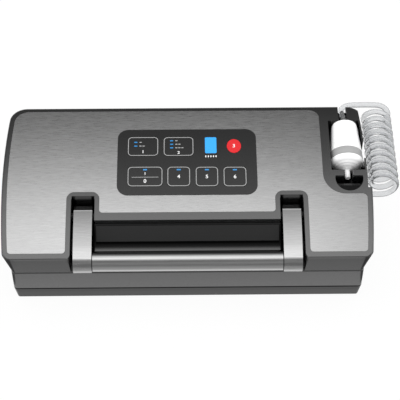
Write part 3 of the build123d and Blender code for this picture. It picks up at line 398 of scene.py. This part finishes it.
def wovenTape(name, color):
    finish = startFinish(name, color, weave["roughness"])
    tree = finish.node_tree
    place = tree.nodes.new("ShaderNodeTexCoord")
    checks = tree.nodes.new("ShaderNodeTexChecker")
    checks.inputs["Scale"].default_value = weave["scale"]
    checks.inputs["Color1"].default_value = (*[weave["dark"] * part for part in color], 1)
    checks.inputs["Color2"].default_value = (*color, 1)
    linkNodes(tree, place.outputs["Object"], checks.inputs["Vector"])
    linkNodes(tree, checks.outputs["Color"], tree.nodes["Principled BSDF"].inputs["Base Color"])
    bumpBy(finish, checks.outputs["Fac"], weave["height"], weave["strength"])
    return finish


def clearPlastic(name):
    tube = {"IOR": 1.5, "Transmission Weight": 0.88}
    return startFinish(name, (0.80, 0.81, 0.82), 0.10, **tube)


def places(finish):
    tree = finish.node_tree
    place = tree.nodes.new("ShaderNodeTexCoord")
    mapping = tree.nodes.new("ShaderNodeMapping")
    split = tree.nodes.new("ShaderNodeSeparateXYZ")
    linkNodes(tree, place.outputs["Object"], mapping.inputs["Vector"])
    linkNodes(tree, mapping.outputs["Vector"], split.inputs[0])
    return split.outputs


def coverBase(finish, blend, share, color):
    # lays a colour over the base colour by a share
    tree = finish.node_tree
    base = tree.nodes["Principled BSDF"].inputs["Base Color"]
    mix = tree.nodes.new("ShaderNodeMix")
    mix.data_type = "RGBA"
    mix.blend_type = blend
    under, over = [socket for socket in mix.inputs if socket.type == "RGBA"]
    feed(tree, share, mix.inputs[0])
    linkNodes(tree, base.links[0].from_socket, under)
    feed(tree, color, over)
    linkNodes(tree, [socket for socket in mix.outputs if socket.type == "RGBA"][0], base)


# painted shade: mixes the base colour towards a dark tone by a share
def paintShadeWhere(finish, share, tone):
    coverBase(finish, "MIX", share, (*gray(tone), 1))


def paintLightAlong(finish, axis, stops):
    # multiplies the base colour by a tone that changes along one axis, as painted light and shade
    coverBase(finish, "MULTIPLY", 1.0, toneAlong(finish.node_tree, places(finish)[axis], stops))


def insideBoxes(finish, boxes):
    # 1 inside any of the boxes, fading at their sides over the way given with each
    tree = finish.node_tree
    at = places(finish)
    total = None
    for low, high, soft in boxes:
        depth = None
        for axis in range(3):
            middle, half = (low[axis] + high[axis]) / 2, (high[axis] - low[axis]) / 2
            off = compute(tree, "ABSOLUTE", compute(tree, "SUBTRACT", at[axis], middle))
            left = compute(tree, "SUBTRACT", half, off)
            depth = left if depth is None else compute(tree, "MINIMUM", depth, left)
        depth = compute(tree, "DIVIDE", depth, soft)
        total = depth if total is None else compute(tree, "MAXIMUM", total, depth)
    spread = tree.nodes.new("ShaderNodeMapRange")
    linkNodes(tree, total, spread.inputs["Value"])
    return spread.outputs["Result"]


finishes = {
    "body_grey": mouldedPlastic("silver_grey_plastic", gray(0.160), 0.30, 0.9),
    "handle_silver": brushedMetal("brushed_handle", 0.60, 0.26, (0.25, 9, 9), 0.06),
    "steel": brushedMetal("brushed_panel", 0.61, 0.30, (1.0, 14, 14)),
    "black_plastic": mouldedPlastic("black_moulding", gray(0.016), 0.5),
    "dark_window": mouldedPlastic("tinted_window", gray(0.020), 0.18, height=0.000003),
    "panel_film": mouldedPlastic("control_film", gray(0.006), 0.30, height=0.000008, IOR=1.66),
    "display_blue": mouldedPlastic("display_blue", (0.030, 0.36, 0.84), 0.25, height=0.000002),
    "key_red": mouldedPlastic("key_red", (0.64, 0.008, 0.013), 0.30, height=0.000008),
    "led_blue": mouldedPlastic("led_blue", (0.026, 0.24, 0.56), 0.25, height=0.000002),
    "clear_hose": clearPlastic("clear_tube"),
    "nozzle_white": mouldedPlastic("nozzle_white", gray(0.95), 0.28),
    "band_grey": mouldedPlastic("band_grey", gray(0.34), 0.42),
    "soft_rubber": mouldedPlastic("foot_rubber", gray(0.025), 0.75, height=0.00006),
    "gasket_rubber": mouldedPlastic("gasket_rubber", gray(0.07), 0.65, height=0.00004),
    "release_tape": wovenTape("woven_release_tape", (0.32, 0.20, 0.10)),
    "zinc_steel": mouldedPlastic("zinc_plated", gray(0.62), 0.24, 1.0),
    "bright_steel": brushedMetal("turned_steel", 0.52, 0.34, (4, 4, 4)),
    "aluminium": brushedMetal("cast_aluminium", 0.60, 0.42, (5, 5, 5)),
    "core_iron": brushedMetal("laminated_iron", 0.16, 0.55, (0.2, 8, 0.2), 0.35),
    "winding_copper": brushedMetal("copper_winding", 0.40, 0.38, (0.3, 0.3, 9), 0.25),
    "brass": mouldedPlastic("contact_brass", (0.70, 0.50, 0.22), 0.25, 1.0),
    "board_green": mouldedPlastic("board_green", (0.02, 0.17, 0.06), 0.40),
    "wire_black": mouldedPlastic("wire_black", gray(0.02), 0.5),
}


# painted shade: the hollows of the lid that lie in deep shade and the crease line between the rim and the
# front face, darkened in the lid's colour; the same tone paints the shadow at the grip rod's ends
wells = {
    "tone": 0.003,
    "armGap": 0.0026,
    "armInset": 0.006,
    "armBack": -0.0238,
    "armBottom": 0.050,
    "armTop": 0.0985,
    "armEdge": 0.0006,
    "windowFront": -0.0712,
    "windowBack": -0.0450,
    "windowBottom": 0.040,
    "windowTop": 0.0865,
    "windowFade": 0.006,
    # cradle, hose groove, tip groove, then the deep part, the walls and the ledge of the finger recess
    "holder": [
        ((0.1566, 0.0058, 0.0500), (0.1935, 0.0748, 0.0985), 0.0006),
        ((0.1690, 0.0735, 0.0500), (0.1790, 0.0985, 0.1015), 0.0006),
        ((0.1708, -0.0015, 0.0500), (0.1802, 0.0075, 0.0985), 0.0006),
        ((0.1600, -0.0055, 0.0500), (0.1910, -0.0006, 0.0972), 0.0006),
        ((0.1600, -0.0205, 0.0914), (0.1910, -0.0050, 0.0945), 0.0006),
        ((0.1600, -0.0205, 0.0888), (0.1910, -0.0064, 0.0932), 0.0027),
    ],
    "crease": ((-0.21, -0.0990, 0.0738), (0.21, -0.0945, 0.0758), 0.0018),
}
# painted shadow in the line between the base and its bottom cover, and in the gaps at the ends of the grip
# rod
seams = {
    "tone": 0.012,
    "base": ((-1, -1, 0), (1, 1, 0.0210), 0.0006),
    "cover": ((-1, -1, 0.0184), (1, 1, 0.0300), 0.0006),
    "rodEnd": 0.0010,
    "rodPast": 0.01,
}


def lidWells():
    boxes = []
    for arm in ("left_arm", "right_arm"):
        low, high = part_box(arm)
        boxes.append((
            (low.x - wells["armGap"], low.y + wells["armInset"], wells["armBottom"]),
            (high.x + wells["armGap"], wells["armBack"], wells["armTop"]),
            wells["armEdge"],
        ))
    low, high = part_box("viewing_window")
    fade = wells["windowFade"]
    boxes.append((
        (low.x - fade, wells["windowFront"], wells["windowBottom"]),
        (high.x + fade, wells["windowBack"], wells["windowTop"]),
        fade,
    ))
    return boxes + wells["holder"] + [wells["crease"]]


def rodEnds():
    low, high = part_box("grip_rod")
    end, past = seams["rodEnd"], seams["rodPast"]
    return [
        ((low.x - past, -1, 0), (low.x + end, 1, 1), end / 4),
        ((high.x - end, -1, 0), (high.x + past, 1, 1), end / 4),
    ]


# painted light and shade: share of the base colour by the place along one axis of a piece
paintedLight = {
    # painted shade: the steel panel darker towards its right end, a little at its left
    "panelAcross": [(-0.200, 0.92), (-0.130, 0.98), (0.060, 0.95), (0.130, 0.85), (0.195, 0.66)],
    # painted shade: the lid darker below the rim
    "lidUp": [(0.0730, 0.66), (0.0765, 1.0)],
    # painted shade: the lid darker towards the back
    "lidBack": [(-0.060, 0.95), (-0.020, 0.90), (0.030, 0.75), (0.060, 0.68), (0.095, 0.62)],
    # painted highlights and shade along the arms, from the front end to the back
    "armBack": [
        (-0.098, 1.05), (-0.095, 0.80), (-0.090, 1.25), (-0.084, 1.08), (-0.076, 0.80), (-0.070, 0.73),
        (-0.062, 0.68), (-0.053, 0.61), (-0.042, 0.56), (-0.0385, 0.54), (-0.0365, 1.30), (-0.030, 1.50),
    ],
    # painted shade: the grip rod darker over its upper back
    "rodBack": [(-0.0876, 1.0), (-0.0848, 0.42)],
}


def ownFinishes():
    # pieces of one material whose tone differs from the others: lit and shaded copies, the lid, base and
    # bottom cover tones set to how bright each reads under the studio light, with painted light and shade
    # on the lid, arms and rod
    lid = mouldedPlastic("lid_grey", gray(0.155), 0.22, 0.9)
    # painted shade on the lower and back parts of the lid
    paintLightAlong(lid, 2, paintedLight["lidUp"])
    paintLightAlong(lid, 1, paintedLight["lidBack"])
    # painted shade in the lid's hollows and crease
    paintShadeWhere(lid, insideBoxes(lid, lidWells()), wells["tone"])
    base = mouldedPlastic("base_grey", gray(0.168), 0.30, 0.9)
    # painted shadow in the seam at the foot of the base
    paintShadeWhere(base, insideBoxes(base, [seams["base"]]), seams["tone"])
    # the bottom cover made darker than the base as painted shade, for its face that leans under
    cover = mouldedPlastic("cover_grey", gray(0.056), 0.34, 0.9)
    # painted shadow in the seam at the top of the bottom cover
    paintShadeWhere(cover, insideBoxes(cover, [seams["cover"]]), seams["tone"])
    arm = brushedMetal("brushed_arm", 0.60, 0.22, (0.7, 14, 14), 0.07)
    # painted highlights and shade along the arms
    paintLightAlong(arm, 1, paintedLight["armBack"])
    rod = brushedMetal("brushed_rod", 0.60, 0.15, (0.5, 14, 14), 0.05)
    # painted shade on the rod's upper back
    paintLightAlong(rod, 1, paintedLight["rodBack"])
    # painted shadow in the gaps where the rod meets the arms
    paintShadeWhere(rod, insideBoxes(rod, rodEnds()), wells["tone"])
    return {
        "grip_rod": rod, "lid_frame": lid, "base_shell": base, "bottom_cover": cover, "left_arm": arm,
        "right_arm": arm, "handle_shafts": finishes["black_plastic"],
    }


def dressNodes():
    # painted shade across the steel panel, darker towards its right end
    paintLightAlong(finishes["steel"], 0, paintedLight["panelAcross"])
    own = ownFinishes()
    for subpart in record["subparts"]:
        for slot in nodes[subpart["node"]].material_slots:
            slot.material = own.get(subpart["node"], finishes[subpart["material_slot"]])


dressNodes()
printWhite = mouldedPlastic("printed_white", gray(0.80), 0.45, height=0.000002)
printGrey = mouldedPlastic("printed_grey", gray(0.33), 0.45, height=0.000002)
print("stage: finishes")


surfaces = {}


def heightAt(node, x, y):
    # height of a node's top surface at a place, cast down from above
    if node not in surfaces:
        mesh = nodes[node].data
        corners = [vertex.co.copy() for vertex in mesh.vertices]
        surfaces[node] = BVHTree.FromPolygons(corners, [face.vertices[:] for face in mesh.polygons])
    return surfaces[node].ray_cast(Vector((x, y, 1)), Vector((0, 0, -1)))[0].z


printing = {
    "sunk": 0.00004,
    "proud": 0.00007,
    "cutEvery": 0.003,  # so that a print follows the curve under it
    "keyFlange": 0.0015,  # hidden edge of a key under the film
    "frameInset": 0.0002,
    "keyCorner": 0.0045,
    "frameLine": 0.0008,
    "cornerSteps": 6,
    "lightCorner": 0.0003,
    "dividerDepth": 0.0006,
    "bolder": 0.02,  # share of a number's size that it is thickened by
}


def roundedOutline(bm, x, y, width, depth, corner):
    # corner points of a rounded rectangle, counter-clockwise
    steps = printing["cornerSteps"] if corner else 0
    points = []
    for quarter, (sideX, sideY) in enumerate(((1, 1), (-1, 1), (-1, -1), (1, -1))):
        for step in range(steps + 1):
            angle = (quarter + step / max(steps, 1)) * pi / 2
            points.append(bm.verts.new((
                x + sideX * (width / 2 - corner) + corner * cos(angle),
                y + sideY * (depth / 2 - corner) + corner * sin(angle),
                0,
            )))
    return points


def layOn(bm, node):
    # cuts a flat print across, lays it on the node's curved top and gives it its thickness
    low = min(vertex.co.y for vertex in bm.verts)
    high = max(vertex.co.y for vertex in bm.verts)
    cut = low + printing["cutEvery"]
    while cut < high:
        everything = bm.verts[:] + bm.edges[:] + bm.faces[:]
        bmesh.ops.bisect_plane(bm, geom=everything, plane_co=(0, cut, 0), plane_no=(0, 1, 0))
        cut += printing["cutEvery"]
    top = bm.faces[:]
    for vertex in bm.verts:
        vertex.co.z = heightAt(node, vertex.co.x, vertex.co.y) - printing["sunk"]
    raised = bmesh.ops.extrude_face_region(bm, geom=top)
    lifted = [item for item in raised["geom"] if isinstance(item, bmesh.types.BMVert)]
    bmesh.ops.translate(bm, vec=(0, 0, printing["sunk"] + printing["proud"]), verts=lifted)
    bmesh.ops.recalc_face_normals(bm, faces=bm.faces[:])


def printPatch(name, node, body, x, y, width, depth, corner, finish, line=0.0):
    bm = bmesh.new()
    outer = roundedOutline(bm, x, y, width, depth, corner)
    if line:
        inner = roundedOutline(bm, x, y, width - 2 * line, depth - 2 * line, corner - line)
        for near in range(len(outer)):
            far = (near + 1) % len(outer)
            bm.faces.new((outer[near], outer[far], inner[far], inner[near]))
    else:
        bm.faces.new(outer)
    layOn(bm, node)
    piece = newPiece(name, bm, finish)
    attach(piece, body)


def printNumber(name, node, body, text, x, y, size, finish):
    letters = bpy.data.curves.new(name, "FONT")
    letters.body = text
    letters.size = size
    letters.align_x = letters.align_y = "CENTER"
    letters.extrude = (printing["sunk"] + printing["proud"]) / 2
    letters.offset = size * printing["bolder"]
    shape = bpy.data.objects.new(name, letters)
    scene.collection.objects.link(shape)
    bpy.context.view_layer.update()
    mesh = bpy.data.meshes.new_from_object(shape)
    bpy.data.objects.remove(shape)
    bm = bmesh.new()
    bm.from_mesh(mesh)
    bpy.data.meshes.remove(mesh)
    for vertex in bm.verts:
        level = heightAt(node, x + vertex.co.x, y + vertex.co.y)
        vertex.co = (x + vertex.co.x, y + vertex.co.y, level + vertex.co.z)
    piece = newPiece(name, bm, finish)
    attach(piece, body)


lightSize = {"wide": (0.0044, 0.0016), "small": (0.0034, 0.0014)}
# what is printed on each key: plain numbers, level bars beside the upper lights, a divider
keyPrints = {
    "mode_key": {
        "lights": [(-0.0080, 0.0056), (-0.0080, 0.0004)], "light": "small",
        "numbers": [("1", 0, -0.0075, 0.0056)],
    },
    "food_key": {
        "lights": [(-0.0076, 0.0078), (-0.0076, 0.0029), (-0.0076, -0.0020)], "light": "small",
        "numbers": [("2", 0, -0.0086, 0.0052)],
    },
    "stop_key": {
        "lights": [(0, 0.0085)], "light": "wide", "divider": (0, -0.0010, 0.029),
        "numbers": [("I", 0, 0.0035, 0.0048), ("0", 0, -0.0060, 0.0062)],
    },
}
for key, number in (("seal_key", "4"), ("marinate_key", "5"), ("canister_key", "6")):
    keyPrints[key] = {"lights": [(0, 0.0085)], "light": "wide", "numbers": [(number, 0, -0.0004, 0.0060)]}
levelBar = {"width": 0.0024, "depth": 0.0012, "corner": 0.0002, "step": 0.0033, "start": 0.0052}
pulseNumber = ("3", 0.0062)
displayTicks = {"count": 5, "step": 0.0028, "below": 0.0042, "width": 0.0012, "depth": 0.0022}


def printKey(key, prints):
    body = key.replace("_key", "_button")
    low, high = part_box(key)
    x, y = (low.x + high.x) / 2, (low.y + high.y) / 2
    width = high.x - low.x - 2 * printing["keyFlange"] - 2 * printing["frameInset"]
    depth = high.y - low.y - 2 * printing["keyFlange"] - 2 * printing["frameInset"]
    printPatch(
        f"{key}_frame", key, body, x, y, width, depth, printing["keyCorner"], printGrey,
        printing["frameLine"],
    )
    lightWidth, lightDepth = lightSize[prints["light"]]
    for row, (dx, dy) in enumerate(prints["lights"]):
        printPatch(
            f"{key}_light{row}", key, body, x + dx, y + dy, lightWidth, lightDepth, printing["lightCorner"],
            finishes["led_blue"],
        )
        if prints["light"] == "small":
            for bar in range(row + 1):
                at = x + dx + levelBar["start"] + bar * levelBar["step"]
                printPatch(
                    f"{key}_level{row}_{bar}", key, body, at, y + dy, levelBar["width"], levelBar["depth"],
                    levelBar["corner"], printGrey,
                )
    if "divider" in prints:
        dx, dy, length = prints["divider"]
        printPatch(
            f"{key}_divider", key, body, x + dx, y + dy, length, printing["dividerDepth"], 0, printGrey,
        )
    for index, (text, dx, dy, size) in enumerate(prints["numbers"]):
        printNumber(f"{key}_number{index}", key, body, text, x + dx, y + dy, size, printWhite)


def printControls():
    for key, prints in keyPrints.items():
        printKey(key, prints)
    low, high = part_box("pulse_key")
    text, size = pulseNumber
    x, y = (low.x + high.x) / 2, (low.y + high.y) / 2
    printNumber("pulse_key_number", "pulse_key", "pulse_button", text, x, y, size, printWhite)
    low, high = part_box("display_window")
    for tick in range(displayTicks["count"]):
        x = (low.x + high.x) / 2 + (tick - (displayTicks["count"] - 1) / 2) * displayTicks["step"]
        printPatch(
            f"display_tick{tick}", "control_film", "lid", x, low.y - displayTicks["below"],
            displayTicks["width"], displayTicks["depth"], 0, printWhite,
        )


printControls()
print("stage: printing")


hose = {
    "diameter": 0.006,
    "coilX": 0.215,
    "coilZ": 0.081,
    "coilRadius": 0.014,
    "coilFront": -0.001,
    "coilBack": 0.106,
    "turns": 10.5,
    "pointsPerTurn": 14,
    "portX": 0.1975,
    "tailX": 0.206,  # where the tail starts to bend into the coil
    "length": 1.02,
    # from the top of the coil to the nozzle
    "lead": [
        (0.1970, 0.1063, 0.0952), (0.1800, 0.1060, 0.0951), (0.1736, 0.0988, 0.0958),
        (0.1742, 0.0895, 0.0980), (0.1755, 0.0811, 0.0994), (0.1755, 0.0722, 0.0980),
    ],
}


def hoseRoute():
    bottom = hose["coilZ"] - hose["coilRadius"]
    route = [(hose["portX"], hose["coilFront"], bottom), (hose["tailX"], hose["coilFront"], bottom)]
    steps = round(hose["turns"] * hose["pointsPerTurn"])
    radius = hose["coilRadius"] / cos(pi / hose["pointsPerTurn"])
    for step in range(steps + 1):
        angle = -pi / 2 + 2 * pi * step / hose["pointsPerTurn"]
        y = hose["coilFront"] + (hose["coilBack"] - hose["coilFront"]) * step / steps
        route.append((hose["coilX"] + radius * cos(angle), y, hose["coilZ"] + radius * sin(angle)))
    return route + hose["lead"]


def makeHose():
    data = bpy.data.curves.new("accessory_hose", "CURVE")
    data.dimensions = "3D"
    route = hoseRoute()
    line = data.splines.new("NURBS")
    line.points.add(len(route) - 1)
    for point, place in zip(line.points, route):
        point.co = (*place, 1)
    line.order_u = 3
    line.use_endpoint_u = True
    line.resolution_u = 4
    data.bevel_depth = hose["diameter"] / 2
    data.bevel_resolution = 4
    data.use_fill_caps = True
    data.materials.append(finishes["clear_hose"])
    tube = bpy.data.objects.new("accessory_hose", data)
    scene.collection.objects.link(tube)
    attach(tube, "lid")
    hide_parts("curly_hose", "hose_lead")
    return tube, route


hoseTube, hosePlaces = makeHose()
print("stage: hose")


# turned pieces on the axis of the CAD nozzle
mount = next(item for item in record["mounts"] if item["name"] == "nozzle_tip")
nozzleAxis = Vector(mount["axis"]).normalized()
nozzlePoint = Vector(mount["pos_m"])
mergeWithin = 0.000005
# distance from the rear end and radius
nozzleProfiles = {
    "nozzle_body": [
        (0.0, 0.0), (0.0, 0.0122), (0.0006, 0.0133), (0.0020, 0.0140), (0.0050, 0.0145), (0.0357, 0.0176),
        (0.0363, 0.0177), (0.0367, 0.0174), (0.0367, 0.0),
    ],
    "nozzle_band": [
        (0.0367, 0.0), (0.0367, 0.0172), (0.0371, 0.0176), (0.0454, 0.0176), (0.0458, 0.0172),
        (0.0458, 0.0),
    ],
    "nozzle_tip": [
        (0.0458, 0.0), (0.0458, 0.0174), (0.0463, 0.0178), (0.0490, 0.0177), (0.0508, 0.0172),
        (0.0522, 0.0162), (0.0530, 0.0148), (0.0534, 0.0136), (0.0542, 0.0133), (0.0548, 0.0119),
        (0.0551, 0.0105), (0.0558, 0.0101), (0.0564, 0.0084), (0.0567, 0.0066), (0.0574, 0.0061),
        (0.0580, 0.0046), (0.0586, 0.0034), (0.0596, 0.0030), (0.0674, 0.0030), (0.0682, 0.0027),
        (0.0686, 0.0020), (0.0681, 0.0014), (0.0640, 0.0013), (0.0640, 0.0),
    ],
}


def turnPiece(node, profile):
    rear = min((nozzlePoint - vertex.co).dot(-nozzleAxis) for vertex in nodes["nozzle_body"].data.vertices)
    origin = nozzlePoint + nozzleAxis * rear
    side = Vector((1, 0, 0))
    up = nozzleAxis.cross(side)
    bm = bmesh.new()
    points = [bm.verts.new((along, 0, radius)) for along, radius in profile]
    edges = [bm.edges.new(pair) for pair in zip(points, points[1:])]
    bmesh.ops.spin(
        bm, geom=points + edges, cent=(0, 0, 0), axis=(1, 0, 0), angle=2 * pi, steps=roundSteps,
        use_merge=True,
    )
    bmesh.ops.remove_doubles(bm, verts=bm.verts, dist=mergeWithin)
    bmesh.ops.recalc_face_normals(bm, faces=bm.faces[:])
    turn = Matrix((nozzleAxis, side, up)).transposed().to_4x4()
    bmesh.ops.transform(bm, matrix=Matrix.Translation(origin) @ turn, verts=bm.verts)
    slot = "band_grey" if node == "nozzle_band" else "nozzle_white"
    piece = newPiece(f"{node}_turned", bm, finishes[slot], smooth=True)
    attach(piece, "lid")
    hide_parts(node)
    return piece


nozzlePieces = [turnPiece(node, profile) for node, profile in nozzleProfiles.items()]
print("stage: nozzle")
